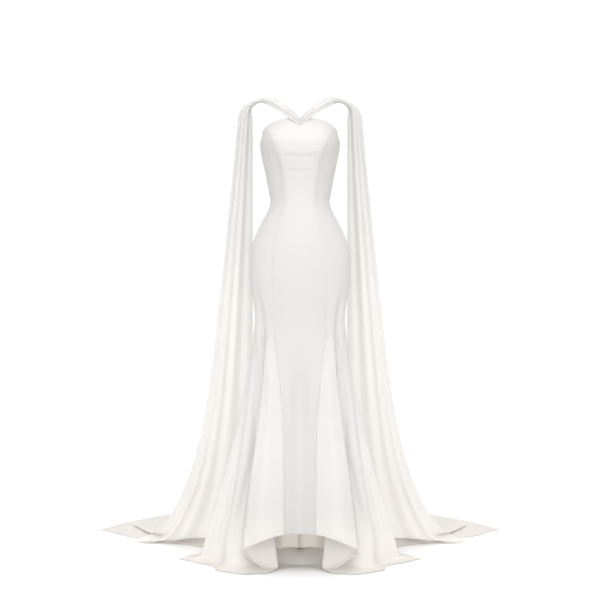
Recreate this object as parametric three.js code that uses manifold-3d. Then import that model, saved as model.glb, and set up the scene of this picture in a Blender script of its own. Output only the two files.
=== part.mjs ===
// A white mermaid gown with a high-low hem, a swept train, crossed neck bands and a long wing of chiffon
// hanging from each shoulder. It stands as if worn, hollow, on the floor.
// Millimetres. +Z is up, -Y is the front, +X is the wearer's left. The origin is the middle of the waist.
import * as THREE from "three";
import { mergeVertices } from "three/addons/utils/BufferGeometryUtils.js";
import Module from "manifold-3d";

// Driving sizes
const waistHeight = 1207; // waist above the floor
const kneeHeight = 760; // where the skirt starts to flare
const crepeThickness = 1.6;
const chiffonThickness = 1;
const seamGap = 0.3; // clear distance between two pieces at a seam
const floorBend = { radius: 46, ofRun: 0.35 }; // how softly crepe turns to lying: at most, and of its run
const chiffonBendRadius = 40;
const wingTopHeight = 1490; // where the gathered chiffon starts to fall
const bodyRows = 11; // grid rows from the top edge to the knee
const wallRows = 8; // grid rows from the knee to the floor
const trainRows = 4; // grid rows along the floor
const panelCells = [5, 17, 10, 7]; // grid cells across half the front, side front, side back and back
const clothCells = 20; // grid cells across a band or a wing
const bandRows = 7; // grid rows from the centre front to the shoulder seam
const gatherRows = 7; // grid rows from the shoulder seam to where the wing falls
const fallRows = 10; // grid rows from there to the floor
const tailRows = 4; // grid rows of a wing along the floor
const degree = Math.PI / 180;

const crepe = new THREE.MeshStandardMaterial({ color: 0xf1efec, roughness: 0.62, metalness: 0 });
const chiffon = new THREE.MeshStandardMaterial({ color: 0xefebe6, roughness: 0.75, metalness: 0 });
const enamel = new THREE.MeshStandardMaterial({ color: 0xf0eeea, roughness: 0.35, metalness: 0.2 });

// Level sections of the fitted part: height above the floor, half width, depth to the front and to the back,
// and the bearing of the front princess seam, in degrees from the centre front.
const sections = [
  { height: 0, halfWidth: 156, front: 97, back: 98, seamBearing: 16 },
  { height: 130, halfWidth: 156, front: 97, back: 98, seamBearing: 16 },
  { height: 360, halfWidth: 156, front: 97, back: 98, seamBearing: 18 },
  { height: 440, halfWidth: 156, front: 97, back: 98, seamBearing: 19 },
  { height: 527, halfWidth: 156, front: 97, back: 98, seamBearing: 21 },
  { height: 610, halfWidth: 156, front: 97, back: 98, seamBearing: 24.5 },
  { height: 697, halfWidth: 156, front: 97, back: 98, seamBearing: 29 },
  { height: 760, halfWidth: 156, front: 97, back: 98, seamBearing: 34 },
  { height: 820, halfWidth: 150, front: 98, back: 104, seamBearing: 36 },
  { height: 880, halfWidth: 156, front: 102, back: 116, seamBearing: 35 },
  { height: 940, halfWidth: 164, front: 105, back: 125, seamBearing: 33.5 },
  { height: 1000, halfWidth: 166.7, front: 106, back: 125, seamBearing: 31.7 },
  { height: 1060, halfWidth: 161, front: 103, back: 114, seamBearing: 31 },
  { height: 1100, halfWidth: 147.5, front: 99, back: 102, seamBearing: 30.4 },
  { height: 1140, halfWidth: 128, front: 94, back: 90, seamBearing: 30.2 },
  { height: 1180, halfWidth: 107.5, front: 89, back: 81, seamBearing: 30 },
  { height: 1207, halfWidth: 98.5, front: 88, back: 79, seamBearing: 29.8 },
  { height: 1240, halfWidth: 103.5, front: 91, back: 84, seamBearing: 29.6 },
  { height: 1280, halfWidth: 110.7, front: 100, back: 92, seamBearing: 29.8 },
  { height: 1320, halfWidth: 119, front: 113, back: 98, seamBearing: 30.6 },
  { height: 1360, halfWidth: 127.5, front: 127, back: 100, seamBearing: 33 },
  { height: 1400, halfWidth: 134.5, front: 131, back: 98, seamBearing: 38.4 },
  { height: 1420, halfWidth: 135.5, front: 127, back: 96, seamBearing: 43.5 },
  { height: 1448, halfWidth: 135.5, front: 119, back: 92, seamBearing: 60 },
  { height: 1480, halfWidth: 135.5, front: 110, back: 88, seamBearing: 64 },
];
// Zip slider at the top of the centre back, and the tab that hangs from its bridge. drop is from the slider's
// top to the hinge.
const slider = { belowTop: 4, width: 5, height: 10, thickness: 1.6, corner: 1.2 };
const bridge = { width: 1.6, reach: 3.2, top: 1, bottom: 8, bar: 1, post: 1.2, rooted: 0.8 };
const pull = { drop: 3.6, width: 5, tipWidth: 7, length: 26, thickness: 1, strip: 1.2 };
const pullWindow = { width: 2.8, end: 5.3 };
const sideBearing = 90;
const backSeamBearing = 140;

// The bust line's fullness, cut into the princess seams.
const fullness = { bearing: 37, height: 1386, depth: 9, bearingSpread: 17, heightSpread: 44 };

// Top edge of the bodice. place counts panels round the half gown: 0 centre front, 1 princess seam,
// 2 side seam, 3 back seam, 4 centre back.
const topEdge = [
  { place: 0, height: 1479 },
  { place: 0.3, height: 1478 },
  { place: 0.5, height: 1473 },
  { place: 0.65, height: 1467.5 },
  { place: 0.8, height: 1459.5 },
  { place: 1, height: 1448 },
  { place: 1.25, height: 1441 },
  { place: 1.6, height: 1417 },
  { place: 2, height: 1382 },
  { place: 2.5, height: 1357 },
  { place: 3, height: 1345 },
  { place: 4, height: 1332 },
];

// Folds of one half of the skirt, from the centre front round to the centre back. foot is where the wall
// reaches the floor, hem is the cut edge, lift is the hem's height where it hangs free, and late says how close
// to the floor the fold opens.
const skirtFolds = [
  { fold: "centre front", bearing: 0, footX: 0, footY: -166, hemX: 0, hemY: -166, lift: 131, late: 1.4 },
  { fold: "seam fold", bearing: 16, footX: 54, footY: -171, hemX: 54, hemY: -171, lift: 130, late: 1.3 },
  { fold: "flute crest", bearing: 29, footX: 108, footY: -198, hemX: 108, hemY: -198, lift: 118, late: 1.2 },
  { fold: "flute side", bearing: 40, footX: 162, footY: -184, hemX: 162, hemY: -184, lift: 92, late: 1 },
  { fold: "flute turn", bearing: 50, footX: 193, footY: -142, hemX: 193, hemY: -142, lift: 68, late: 0.9 },
  { fold: "flute inside", bearing: 56, footX: 166, footY: -112, hemX: 166, hemY: -112, lift: 38, late: 1.4 },
  { fold: "front hollow", bearing: 63, footX: 70, footY: -112, hemX: 98, hemY: -156, lift: 0, late: 1.3 },
  { fold: "side inside", bearing: 69, footX: 142, footY: -88, hemX: 142, hemY: -176, lift: 0, late: 1.5 },
  { fold: "side front", bearing: 75, footX: 198, footY: -98, hemX: 188, hemY: -180, lift: 0, late: 1.3 },
  { fold: "side crest", bearing: 81, footX: 241, footY: -82, hemX: 238, hemY: -148, lift: 0, late: 1.2 },
  { fold: "front tip", bearing: 87, footX: 256, footY: -50, hemX: 278, hemY: -106, lift: 0, late: 1.2 },
  { fold: "side hollow", bearing: 93, footX: 266, footY: -10, hemX: 292, hemY: -44, lift: 0, late: 1.3 },
  { fold: "side flare", bearing: 99, footX: 302, footY: 20, hemX: 352, hemY: 8, lift: 0, late: 1.15 },
  { fold: "side tip", bearing: 106, footX: 332, footY: 62, hemX: 405, hemY: 80, lift: 0, late: 1.15 },
  { fold: "side tip back", bearing: 112, footX: 322, footY: 104, hemX: 386, hemY: 138, lift: 0, late: 1.25 },
  { fold: "train hollow", bearing: 118, footX: 290, footY: 140, hemX: 346, hemY: 174, lift: 0, late: 1.4 },
  { fold: "train start", bearing: 124, footX: 262, footY: 182, hemX: 342, hemY: 230, lift: 0, late: 1.5 },
  { fold: "train flare", bearing: 131, footX: 232, footY: 222, hemX: 352, hemY: 294, lift: 0, late: 1.5 },
  { fold: "lower side", bearing: 138, footX: 200, footY: 246, hemX: 600, hemY: 462, lift: 0, late: 1.6 },
  { fold: "train corner", bearing: 145, footX: 178, footY: 256, hemX: 748, hemY: 640, lift: 0, late: 1.6 },
  { fold: "upper side", bearing: 152, footX: 148, footY: 240, hemX: 668, hemY: 800, lift: 0, late: 1.6 },
  { fold: "train shoulder", bearing: 160, footX: 112, footY: 216, hemX: 522, hemY: 985, lift: 0, late: 1.5 },
  { fold: "train back", bearing: 170, footX: 58, footY: 188, hemX: 282, hemY: 1200, lift: 0, late: 1.6 },
  { fold: "centre back", bearing: 180, footX: 0, footY: 178, hemX: 0, hemY: 1290, lift: 0, late: 1.6 },
];

// Route of one neck band and of the gathered top of its wing, from the centre front over the shoulder. Where
// it crosses the bodice it is brought out to lie on it. halfWidth is across the cloth as the front shows it, bow
// is how far its middle stands out from its edges, and pleat is how far its small folds stand to each side.
const bandRoute = [
  { stop: "band end", x: 4, y: -100, height: 1466, halfWidth: 6, bow: 0.5, pleat: 0.1 },
  { stop: "neckline", x: 20, y: -100, height: 1482, halfWidth: 12.5, bow: 1.2, pleat: 0.4 },
  { stop: "collar", x: 56, y: -102, height: 1509, halfWidth: 13.5, bow: 4, pleat: 0.8 },
  { stop: "upper collar", x: 88, y: -66, height: 1531, halfWidth: 15, bow: 5, pleat: 0.9 },
  { stop: "shoulder seam", x: 112, y: -32, height: 1543, halfWidth: 11.5, bow: 6, pleat: 0.7 },
  { stop: "shoulder", x: 132, y: -8, height: 1545, halfWidth: 7.5, bow: 8, pleat: 0.4 },
  { stop: "outer shoulder", x: 154, y: 13, height: 1539, halfWidth: 8.5, bow: 10, pleat: 0.5 },
  { stop: "shoulder end", x: 171, y: 26, height: 1527, halfWidth: 13, bow: 13, pleat: 1 },
  { stop: "turn", x: 180, y: 33, height: 1511, halfWidth: 20, bow: 15, pleat: 1.6 },
  { stop: "top of the fall", x: 183, y: 37, height: 1490, halfWidth: 24.5, bow: 16, pleat: 2.2 },
];
const bodiceStops = 2; // this many stops lie on the bodice
const facetDepth = 1.2; // how far the bodice's flat facets lie inside its curve there
const shoulderSeam = 4; // the stop where the band ends and the wing starts
const bandFolds = 5;
// The band on the wearer's right lies over the other one where they cross.
const crossing = { forward: 3, along: -9, reach: 1.6 };

// Lines down one wing, from its inner edge to its outer one: ridges and hollows by turns.
const wingFolds = [
  { fold: "inner edge", across: 0, footX: 172, footY: 405, hemX: 196, hemY: 478 },
  { fold: "inner ridge", across: 0.1, footX: 232, footY: 352, hemX: 244, hemY: 440 },
  { fold: "inner hollow", across: 0.2, footX: 292, footY: 410, hemX: 302, hemY: 474 },
  { fold: "second ridge", across: 0.3, footX: 334, footY: 340, hemX: 352, hemY: 428 },
  { fold: "second hollow", across: 0.4, footX: 376, footY: 396, hemX: 402, hemY: 438 },
  { fold: "front ridge", across: 0.5, footX: 416, footY: 318, hemX: 466, hemY: 370 },
  { fold: "front hollow", across: 0.6, footX: 446, footY: 372, hemX: 512, hemY: 398 },
  { fold: "front tip", across: 0.7, footX: 486, footY: 318, hemX: 590, hemY: 374 },
  { fold: "outer hollow", across: 0.8, footX: 488, footY: 412, hemX: 548, hemY: 530 },
  { fold: "outer ridge", across: 0.9, footX: 532, footY: 470, hemX: 634, hemY: 722 },
  { fold: "outer edge", across: 1, footX: 494, footY: 560, hemX: 530, hemY: 940 },
];
const fallBlend = { straight: 0.53, flare: 0.47, flarePower: 6.6 }; // how a wing spreads as it falls
// How high a wing's tail lies over the floor and, further back, over the train. The cloth starts to lift to that
// height when it has fallen this far.
const tailRest = { floor: 2.5, onTrain: 9, from: 385, to: 455, rising: 0.6 };

// A column gets its full share of the floor rows when it runs this far along the floor.
const longRun = { from: 40, to: 260 };

// A broad fold that runs down the train on each side of its middle.
const trainRidge = { bearing: 172, spread: 5.5, rise: 20 };

// A smooth curve through one column of a table.
function columnCurve(rows, key, value) {
  const slopes = rows.map((row, i) => {
    const before = rows[Math.max(i - 1, 0)];
    const after = rows[Math.min(i + 1, rows.length - 1)];
    return (after[value] - before[value]) / (after[key] - before[key]);
  });
  return (at) => {
    let i = 0;
    while (i < rows.length - 2 && at > rows[i + 1][key]) i++;
    const span = rows[i + 1][key] - rows[i][key];
    const t = THREE.MathUtils.clamp((at - rows[i][key]) / span, 0, 1);
    const a = rows[i][value];
    const b = rows[i + 1][value];
    const rise = slopes[i] * span * t * (1 - t) * (1 - t) - slopes[i + 1] * span * t * t * (1 - t);
    return a + (b - a) * t * t * (3 - 2 * t) + rise;
  };
}

function tableCurves(rows, key) {
  const curves = {};
  for (const column of Object.keys(rows[0])) {
    if (typeof rows[0][column] === "number") curves[column] = columnCurve(rows, key, column);
  }
  return curves;
}

const sectionAt = tableCurves(sections, "height");
const topEdgeAt = tableCurves(topEdge, "place");
const skirtAt = tableCurves(skirtFolds, "bearing");
const wingAt = tableCurves(wingFolds, "across");
const smooth = (value, from, to) => THREE.MathUtils.smoothstep(value, from, to);

// Height of cloth that falls and then lies, for a signed height that goes below the floor.
function settle(height, radius) {
  return (height + Math.hypot(height, radius)) / 2;
}

// Bearing of a place at a height: the princess seam wanders, the other seams hold theirs.
function bearingAt(place, height) {
  const marks = [0, sectionAt.seamBearing(height), sideBearing, backSeamBearing, 180];
  const panel = Math.min(Math.floor(place), 3);
  return THREE.MathUtils.lerp(marks[panel], marks[panel + 1], place - panel);
}

// The fitted part: an oval section with the bust line's fullness.
function fittedPoint(bearing, height) {
  const angle = bearing * degree;
  const width = sectionAt.halfWidth(height);
  const depth = bearing < 90 ? sectionAt.front(height) : sectionAt.back(height);
  const full =
    fullness.depth *
    Math.exp(-(((bearing - fullness.bearing) / fullness.bearingSpread) ** 2)) *
    Math.exp(-(((height - fullness.height) / fullness.heightSpread) ** 2));
  return new THREE.Vector3(
    (width + full) * Math.sin(angle),
    -(depth + full) * Math.cos(angle),
    height - waistHeight,
  );
}

// How far down its column a grid row lies, counted from the knee. Columns with a long train spend rows on it.
function rowDrop(row, wall, run) {
  const even = ((wall + run) * row) / (wallRows + trainRows);
  const split = row <= wallRows ? (wall * row) / wallRows : wall + (run * (row - wallRows)) / trainRows;
  return THREE.MathUtils.lerp(even, split, smooth(run, longRun.from, longRun.to));
}

// The flared part: from the knee down to the floor and along it to the hem.
function flaredPoint(place, row) {
  const low = bearingAt(place, 0);
  const wall = kneeHeight - Math.max(skirtAt.lift(low), 0);
  const lowRun = Math.hypot(skirtAt.hemX(low) - skirtAt.footX(low), skirtAt.hemY(low) - skirtAt.footY(low));
  const drop = rowDrop(row, wall, lowRun);
  const height = kneeHeight - drop;
  const bearing = bearingAt(place, Math.max(height, 0));
  const knee = fittedPoint(bearing, kneeHeight);
  const foot = new THREE.Vector3(skirtAt.footX(bearing), skirtAt.footY(bearing), 0);
  const hem = new THREE.Vector3(skirtAt.hemX(bearing), skirtAt.hemY(bearing), 0);
  const open = Math.pow(Math.min(drop / kneeHeight, 1), skirtAt.late(bearing));
  const point = knee.lerp(foot, open);
  const run = foot.distanceTo(hem);
  const lain = height < 0 && run > 0 ? -height / run : 0;
  if (lain > 0) point.lerpVectors(foot, hem, lain);
  const radius = Math.min(floorBend.radius, floorBend.ofRun * run);
  const ridge = trainRidge.rise * Math.exp(-(((bearing - trainRidge.bearing) / trainRidge.spread) ** 2));
  const swell = ridge * Math.sin(Math.min(lain, 1) * Math.PI);
  point.z = settle(height, radius) + swell + crepeThickness - waistHeight;
  return point;
}

// One point of the gown's outer face. place runs from 0 to 4 and row down from the top edge.
function gownPoint(place, row) {
  if (row > bodyRows) return flaredPoint(place, row - bodyRows);
  const top = topEdgeAt.height(place);
  const height = THREE.MathUtils.lerp(top, kneeHeight, row / bodyRows);
  return fittedPoint(bearingAt(place, height), height);
}

const route = new THREE.CatmullRomCurve3(
  bandRoute.map((stop, index) => {
    const bodice = -sectionAt.front(stop.height - stop.halfWidth) - seamGap - chiffonThickness + facetDepth;
    const y = index < bodiceStops ? Math.min(stop.y, bodice) : stop.y;
    return new THREE.Vector3(stop.x, y, stop.height - waistHeight);
  }),
  false,
  "centripetal",
);
const routeAt = tableCurves(bandRoute.map((stop, index) => ({ ...stop, index })), "index");

// Folds across the gathered cloth, even at the edges and one depth apart.
const foldWave = (across) => Math.cos(across * bandFolds * 2 * Math.PI);

// One point of the band or of the wing's gathered top. stop counts along bandRoute.
function bandPoint(across, stop) {
  const t = stop / (bandRoute.length - 1);
  const point = route.getPoint(t);
  const ahead = route.getTangent(t);
  const up = new THREE.Vector3(-ahead.z, 0, ahead.x).normalize();
  const face = new THREE.Vector3().crossVectors(up, ahead).normalize();
  point.addScaledVector(up, routeAt.halfWidth(stop) * (2 * across - 1));
  const bow = routeAt.bow(stop) * Math.sin(across * Math.PI);
  return point.addScaledVector(face, routeAt.pleat(stop) * (1 - foldWave(across)) - bow);
}

// One point of a wing below the shoulder. fall is 0 at the top, 1 at the floor and 2 at the hem.
function wingPoint(across, fall) {
  const top = bandPoint(across, bandRoute.length - 1);
  const foot = new THREE.Vector3(wingAt.footX(across), wingAt.footY(across), 0);
  const hem = new THREE.Vector3(wingAt.hemX(across), wingAt.hemY(across), 0);
  const down = Math.min(fall, 1);
  const spread = fallBlend.straight * down + fallBlend.flare * Math.pow(down, fallBlend.flarePower);
  const run = foot.distanceTo(hem);
  const height = fall < 1 ? wingTopHeight * (1 - fall) : -run * (fall - 1);
  const point = top.clone().lerp(foot, spread);
  if (fall > 1) point.lerpVectors(foot, hem, fall - 1);
  const rest = THREE.MathUtils.lerp(
    tailRest.floor,
    tailRest.onTrain,
    smooth(point.y, tailRest.from, tailRest.to),
  );
  point.z = settle(height, chiffonBendRadius * down) + rest * smooth(fall, tailRest.rising, 1) - waistHeight;
  return point;
}

// A closed slab of cloth from a grid of outer points, with its wall growing inwards from them. On an edge that
// is sewn, the grid's outermost line belongs to the neighbour: it turns the wall there and is left out, and the
// edge is drawn in by half the seam gap.
function clothSolid(name, material, grid, thickness, mirrored, sewn) {
  const width = grid[0].length;
  const firstRow = sewn.top ? 1 : 0;
  const lastRow = grid.length - (sewn.bottom ? 2 : 1);
  const firstColumn = sewn.sides ? 1 : 0;
  const lastColumn = width - (sewn.sides ? 2 : 1);
  const rows = lastRow - firstRow + 1;
  const columns = lastColumn - firstColumn + 1;
  const inPlane = (vector, along) =>
    vector.clone().addScaledVector(along, -vector.dot(along) / along.lengthSq()).normalize();
  const outer = [];
  const inner = [];
  for (let r = firstRow; r <= lastRow; r++) {
    for (let c = firstColumn; c <= lastColumn; c++) {
      const right = grid[r][Math.min(c + 1, width - 1)].clone().sub(grid[r][Math.max(c - 1, 0)]);
      const down = grid[Math.min(r + 1, grid.length - 1)][c].clone().sub(grid[Math.max(r - 1, 0)][c]);
      const normal = down.clone().cross(right).normalize();
      const point = grid[r][c].clone();
      const inwardColumn = sewn.sides ? Number(c === firstColumn) - Number(c === lastColumn) : 0;
      const atTop = sewn.top === true && r === firstRow;
      const atBottom = sewn.bottom === true && r === lastRow;
      const inwardRow = Number(atTop) - Number(atBottom);
      point.addScaledVector(inPlane(right, down), (inwardColumn * seamGap) / 2);
      point.addScaledVector(inPlane(down, right), (inwardRow * seamGap) / 2);
      outer.push(point);
      inner.push(point.clone().addScaledVector(normal, -thickness));
    }
  }
  const positions = [...outer, ...inner].flatMap((p) => [mirrored ? -p.x : p.x, p.y, p.z]);
  const out = (r, c) => r * columns + c;
  const back = (r, c) => rows * columns + out(r, c);
  const faces = [];
  const quad = (a, b, c, d) => faces.push([a, b, c], [a, c, d]);
  const endRow = rows - 1;
  const endColumn = columns - 1;
  for (let r = 0; r < endRow; r++) {
    for (let c = 0; c < endColumn; c++) {
      quad(out(r, c), out(r + 1, c), out(r + 1, c + 1), out(r, c + 1));
      quad(back(r, c), back(r, c + 1), back(r + 1, c + 1), back(r + 1, c));
    }
    quad(out(r, 0), back(r, 0), back(r + 1, 0), out(r + 1, 0));
    quad(out(r, endColumn), out(r + 1, endColumn), back(r + 1, endColumn), back(r, endColumn));
  }
  for (let c = 0; c < endColumn; c++) {
    quad(out(0, c), out(0, c + 1), back(0, c + 1), back(0, c));
    quad(out(endRow, c), back(endRow, c), back(endRow, c + 1), out(endRow, c + 1));
  }
  const geometry = new THREE.BufferGeometry();
  geometry.setAttribute("position", new THREE.Float32BufferAttribute(positions, 3));
  geometry.setIndex(faces.flatMap(([a, b, c]) => (mirrored ? [a, c, b] : [a, b, c])));
  const mesh = new THREE.Mesh(geometry, material);
  mesh.name = name;
  return mesh;
}

// Place of a grid column, counted from the centre front round the half gown.
function columnPlace(column) {
  let panel = 0;
  let rest = column;
  while (panel < panelCells.length - 1 && rest > panelCells[panel]) {
    rest -= panelCells[panel];
    panel++;
  }
  return panel + rest / panelCells[panel];
}

// A panel of the gown between two grid columns. Columns before the centre front or past the centre back are
// on the other half.
function gownPanel(name, from, to, mirrored) {
  const centerBack = panelCells.reduce((sum, cells) => sum + cells);
  const grid = [];
  for (let row = 0; row <= bodyRows + wallRows + trainRows; row++) {
    const line = [];
    for (let column = from - 1; column <= to + 1; column++) {
      const past = column > centerBack;
      const near = past ? 2 * centerBack - column : Math.abs(column);
      const point = gownPoint(columnPlace(near), row);
      if (past || column < 0) point.x *= -1;
      line.push(point);
    }
    grid.push(line);
  }
  return clothSolid(name, crepe, grid, crepeThickness, mirrored, { sides: true });
}

// One point of the chiffon on one side, with its rows counted from the shoulder seam: up the band before it,
// down the wing after it.
function chiffonPoint(across, row, mirrored) {
  const gathered = row / (row < 0 ? bandRows : gatherRows);
  const stop = shoulderSeam + gathered * (row < 0 ? shoulderSeam : bandRoute.length - 1 - shoulderSeam);
  const near = mirrored ? 1 - smooth(stop, 0, crossing.reach) : 0;
  if (row <= gatherRows) {
    const shift = new THREE.Vector3(crossing.along, -crossing.forward, crossing.along);
    return bandPoint(across, stop).addScaledVector(shift, near);
  }
  const fallen = row - gatherRows;
  return wingPoint(across, fallen < fallRows ? fallen / fallRows : 1 + (fallen - fallRows) / tailRows);
}

function chiffonPiece(name, fromRow, toRow, mirrored, sewn) {
  const grid = [];
  for (let row = fromRow; row <= toRow; row++) {
    const line = [];
    for (let c = 0; c <= clothCells; c++) line.push(chiffonPoint(c / clothCells, row, mirrored));
    grid.push(line);
  }
  return clothSolid(name, chiffon, grid, chiffonThickness, mirrored, sewn);
}

const wasm = await Module();
wasm.setup();

function toSolid(geometry) {
  const plain = new THREE.BufferGeometry();
  plain.setAttribute("position", geometry.getAttribute("position").clone());
  if (geometry.index) plain.setIndex(geometry.index.clone());
  const merged = mergeVertices(plain);
  return new wasm.Manifold(
    new wasm.Mesh({
      numProp: 3,
      vertProperties: new Float32Array(merged.getAttribute("position").array),
      triVerts: new Uint32Array(merged.index.array),
    }),
  );
}

// Hinge line of the zip's tab, and the slider's top.
const zipTop = topEdgeAt.height(4) - slider.belowTop;
const zipFace = fittedPoint(180, zipTop).y + seamGap;
const hinge = new THREE.Vector3(
  0,
  zipFace + slider.thickness + (bridge.reach - bridge.bar) / 2,
  zipTop - pull.drop - waistHeight,
);

function extruded(outline, depth, curveSegments) {
  return new THREE.ExtrudeGeometry(outline, { depth, bevelEnabled: false, curveSegments });
}

function zipSlider() {
  const { width, height, thickness, corner } = slider;
  const plateOutline = new THREE.Shape();
  plateOutline.moveTo(-width / 2 + corner, 0);
  plateOutline.lineTo(width / 2 - corner, 0);
  plateOutline.absarc(width / 2 - corner, -corner, corner, Math.PI / 2, 0, true);
  plateOutline.lineTo(width / 2, -height + corner);
  plateOutline.absarc(width / 2 - corner, -height + corner, corner, 0, -Math.PI / 2, true);
  plateOutline.lineTo(-width / 2 + corner, -height);
  plateOutline.absarc(-width / 2 + corner, -height + corner, corner, -Math.PI / 2, -Math.PI, true);
  plateOutline.lineTo(-width / 2, -corner);
  plateOutline.absarc(-width / 2 + corner, -corner, corner, Math.PI, Math.PI / 2, true);
  const plate = extruded(plateOutline, thickness, 4);
  plate.rotateX(Math.PI / 2).translate(0, thickness, 0);

  const reach = thickness + bridge.reach;
  const bridgeOutline = new THREE.Shape();
  bridgeOutline.moveTo(thickness - bridge.rooted, -bridge.top);
  bridgeOutline.lineTo(reach - bridge.bar, -bridge.top);
  bridgeOutline.absarc(reach - bridge.bar, -bridge.top - bridge.bar, bridge.bar, Math.PI / 2, 0, true);
  bridgeOutline.lineTo(reach, -bridge.bottom + bridge.bar);
  bridgeOutline.absarc(reach - bridge.bar, -bridge.bottom + bridge.bar, bridge.bar, 0, -Math.PI / 2, true);
  bridgeOutline.lineTo(thickness - bridge.rooted, -bridge.bottom);
  bridgeOutline.lineTo(thickness - bridge.rooted, -bridge.bottom + bridge.post);
  bridgeOutline.lineTo(reach - bridge.bar, -bridge.bottom + bridge.post);
  bridgeOutline.lineTo(reach - bridge.bar, -bridge.top - bridge.post);
  bridgeOutline.lineTo(thickness - bridge.rooted, -bridge.top - bridge.post);
  const arch = extruded(bridgeOutline, bridge.width, 4);
  const sideways = new THREE.Matrix4().makeBasis(
    new THREE.Vector3(0, 1, 0),
    new THREE.Vector3(0, 0, 1),
    new THREE.Vector3(1, 0, 0),
  );
  arch.applyMatrix4(sideways).translate(-bridge.width / 2, 0, 0);

  const joined = toSolid(plate).add(toSolid(arch)).getMesh();
  const geometry = new THREE.BufferGeometry();
  geometry.setAttribute("position", new THREE.Float32BufferAttribute(joined.vertProperties, 3));
  geometry.setIndex(Array.from(joined.triVerts));
  const mesh = new THREE.Mesh(geometry, enamel);
  mesh.name = "zip_slider";
  mesh.position.set(0, zipFace, zipTop - waistHeight);
  return mesh;
}

function zipPull() {
  const { width, tipWidth, length, thickness, strip } = pull;
  const outline = new THREE.Shape();
  const tip = strip / 2 - length + tipWidth / 2;
  outline.moveTo(-width / 2, strip / 2);
  outline.lineTo(width / 2, strip / 2);
  outline.lineTo(tipWidth / 2, tip);
  outline.absarc(0, tip, tipWidth / 2, 0, -Math.PI, true);
  const windowHole = new THREE.Path();
  windowHole.moveTo(-pullWindow.width / 2, -strip / 2);
  windowHole.lineTo(-pullWindow.width / 2, -pullWindow.end);
  windowHole.lineTo(pullWindow.width / 2, -pullWindow.end);
  windowHole.lineTo(pullWindow.width / 2, -strip / 2);
  outline.holes.push(windowHole);
  const geometry = extruded(outline, thickness, 10);
  geometry.translate(0, 0, -thickness / 2).rotateX(Math.PI / 2);
  const mesh = new THREE.Mesh(geometry, enamel);
  mesh.name = "zip_pull";
  mesh.position.copy(hinge);
  return mesh;
}

const frontSeam = panelCells[0];
const sideSeam = frontSeam + panelCells[1];
const backSeam = sideSeam + panelCells[2];
const centerBackSeam = backSeam + panelCells[3];

const gown = new THREE.Group();
gown.add(gownPanel("front_center", -frontSeam, frontSeam, false));
for (const side of ["left", "right"]) {
  const mirrored = side === "right";
  gown.add(gownPanel(`side_front_${side}`, frontSeam, sideSeam, mirrored));
  gown.add(gownPanel(`side_back_${side}`, sideSeam, backSeam, mirrored));
  gown.add(gownPanel(`back_${side}`, backSeam, centerBackSeam, mirrored));
  gown.add(chiffonPiece(`neck_band_${side}`, -bandRows, 1, mirrored, { bottom: true }));
  gown.add(chiffonPiece(`wing_${side}`, -1, gatherRows + fallRows + tailRows, mirrored, { top: true }));
}
gown.add(zipSlider());
gown.add(zipPull());

export default gown;
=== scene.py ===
import bpy
import bmesh
import math
import numpy as np
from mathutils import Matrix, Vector


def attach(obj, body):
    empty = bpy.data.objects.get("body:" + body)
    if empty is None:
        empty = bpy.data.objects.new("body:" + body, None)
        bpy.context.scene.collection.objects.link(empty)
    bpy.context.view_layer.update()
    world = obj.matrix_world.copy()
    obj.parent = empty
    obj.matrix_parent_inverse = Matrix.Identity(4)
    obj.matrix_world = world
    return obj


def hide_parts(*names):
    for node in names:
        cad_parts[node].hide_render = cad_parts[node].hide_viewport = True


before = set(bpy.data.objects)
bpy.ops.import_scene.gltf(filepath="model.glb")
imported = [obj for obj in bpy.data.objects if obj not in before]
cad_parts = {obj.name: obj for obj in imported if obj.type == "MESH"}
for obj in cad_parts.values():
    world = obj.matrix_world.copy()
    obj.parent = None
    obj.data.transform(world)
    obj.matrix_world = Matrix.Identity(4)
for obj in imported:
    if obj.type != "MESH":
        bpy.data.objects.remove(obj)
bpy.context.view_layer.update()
print("frame loaded")

# Distances in the tables are millimetres, as the maker's pattern has them; meshes are in metres.
mm = 0.001
waistHeight = 1207
kneeHeight = 760
rowsOf = dict(body=11, wall=8, train=4)  # pattern rows: top edge to knee, knee to floor, along the floor
clothThickness = dict(crepe=0.7, chiffon=0.35)
floorGap = 0.4
tiny = 1e-9  # keeps a division away from zero


def curveOf(keys, values):
    keys, values = np.array(keys, float), np.array(values, float)
    slopes = np.empty(len(keys))
    slopes[1:-1] = (values[2:] - values[:-2]) / (keys[2:] - keys[:-2])
    slopes[0] = (values[1] - values[0]) / (keys[1] - keys[0])
    slopes[-1] = (values[-1] - values[-2]) / (keys[-1] - keys[-2])

    def at(x):
        i = np.clip(np.searchsorted(keys, x, side="left") - 1, 0, len(keys) - 2)
        span = keys[i + 1] - keys[i]
        t = np.clip((x - keys[i]) / span, 0, 1)
        bend = slopes[i] * span * t * (1 - t) ** 2 - slopes[i + 1] * span * t * t * (1 - t)
        return values[i] + (values[i + 1] - values[i]) * t * t * (3 - 2 * t) + bend

    return at


def curvesOf(names, rows):
    columns = list(zip(*rows))
    return {name: curveOf(columns[0], column) for name, column in zip(names, columns[1:])}


def smooth(x, low, high):
    t = np.clip((x - low) / (high - low), 0, 1)
    return t * t * (3 - 2 * t)


def mix(a, b, t):
    return a + (b - a) * t


def unit(v):
    return v / np.maximum(np.linalg.norm(v, axis=-1, keepdims=True), tiny)


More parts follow.
